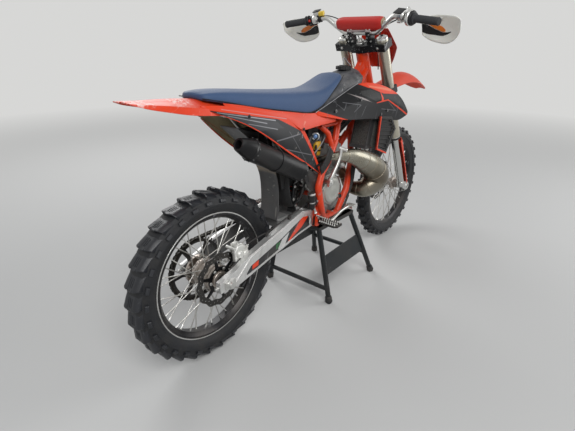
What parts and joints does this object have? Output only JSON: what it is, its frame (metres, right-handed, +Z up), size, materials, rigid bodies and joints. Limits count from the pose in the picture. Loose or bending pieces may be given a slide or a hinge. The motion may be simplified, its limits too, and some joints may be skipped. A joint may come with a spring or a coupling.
{
  "type": "motocross motorcycle on a paddock stand",
  "caption": "Two-stroke motocross bike with knobbly tyres, long-travel fork, expansion pipe and plastic bodywork, standing on a low steel paddock stand.",
  "frame": {"origin": "on the floor, under the middle of the whole bike's length and width, where the paddock stand's feet rest", "axes": "+X forward along the bike, +Y to the rider's left, +Z up"},
  "size_m": [2.173, 0.948, 1.2971],
  "materials": {
    "tyre": "matt, muddy",
    "rim_black": "anodised black with a bright lip",
    "spoke_steel": "plain",
    "hub_silver": "satin",
    "sprocket_black": "worn black",
    "disc_steel": "brushed",
    "axle_steel": "plain",
    "frame_orange": "powder coat",
    "subframe_alloy": "plain",
    "cast_alloy": "raw casting",
    "chain_steel": "oily",
    "black_plastic": "grained",
    "engine_alloy": "cast",
    "black_rubber": "matt",
    "pipe_steel": "raw, heat tinted",
    "silencer_black": "satin",
    "radiator_alloy": "finned",
    "grey_plastic": "scuffed",
    "black_gloss": "film covered, scuffed",
    "seat_blue": "gripper cover",
    "orange_plastic": "scuffed",
    "stand_black": "powder coat",
    "clamp_black": "anodised",
    "fork_silver": "satin",
    "bar_silver": "polished",
    "pad_red": "vinyl",
    "spring_yellow": "powder coat",
    "white_plastic": "scuffed"
  },
  "bodies": {
    "rear_wheel": {"rear_tyre": "tyre", "rear_rim": "rim_black", "rear_spokes": "spoke_steel", "rear_hub": "hub_silver", "rear_sprocket": "sprocket_black", "rear_disc": "disc_steel"},
    "front_wheel": {"front_tyre": "tyre", "front_rim": "rim_black", "front_spokes": "spoke_steel", "front_hub": "hub_silver", "front_disc": "disc_steel"},
    "chassis": {"rear_axle": "axle_steel", "frame": "frame_orange", "subframe": "subframe_alloy", "swingarm_left": "cast_alloy", "swingarm_right": "cast_alloy", "swingarm_centre": "cast_alloy", "drive_chain": "chain_steel", "chain_guide": "black_plastic", "engine_cases": "engine_alloy", "engine_covers": "engine_alloy", "cylinder": "engine_alloy", "carburettor": "black_rubber", "expansion_pipe": "pipe_steel", "silencer": "silencer_black", "airbox": "black_plastic", "shock_body": "axle_steel", "radiators": "radiator_alloy", "louvres": "black_plastic", "fuel_tank": "grey_plastic", "shrouds": "black_gloss", "seat": "seat_blue", "rear_fender": "orange_plastic", "inner_fender": "grey_plastic", "side_panels": "black_gloss", "rear_brake": "cast_alloy", "footpegs": "axle_steel", "foot_controls": "cast_alloy", "kick_lever": "cast_alloy", "paddock_stand": "stand_black", "shock_spring": "spring_yellow", "rear_brake_hose": "black_rubber"},
    "steering": {"triple_clamps": "clamp_black", "fork_tubes": "fork_silver", "fork_legs": "axle_steel", "fork_guards": "orange_plastic", "front_axle": "axle_steel", "front_fender": "orange_plastic", "number_plate": "orange_plastic", "handlebar": "bar_silver", "bar_pad": "pad_red", "grips": "black_rubber", "controls": "clamp_black", "hand_guards": "white_plastic", "front_brake": "cast_alloy", "front_brake_hose": "black_rubber", "control_cables": "black_rubber"}
  },
  "joints": [
    {"name": "steering_turn", "type": "hinge", "parent": "chassis", "child": "steering", "pos_m": [0.3585, 0, 1.02154], "axis": [-0.4399, 0, 0.898], "range_deg": [-42, 42]},
    {"name": "front_wheel_spin", "type": "hinge", "parent": "steering", "child": "front_wheel", "pos_m": [0.74, 0, 0.351], "axis": [0, 1, 0], "continuous": true},
    {"name": "rear_wheel_spin", "type": "hinge", "parent": "chassis", "child": "rear_wheel", "pos_m": [-0.745, 0, 0.346], "axis": [0, 1, 0], "continuous": true}
  ]
}
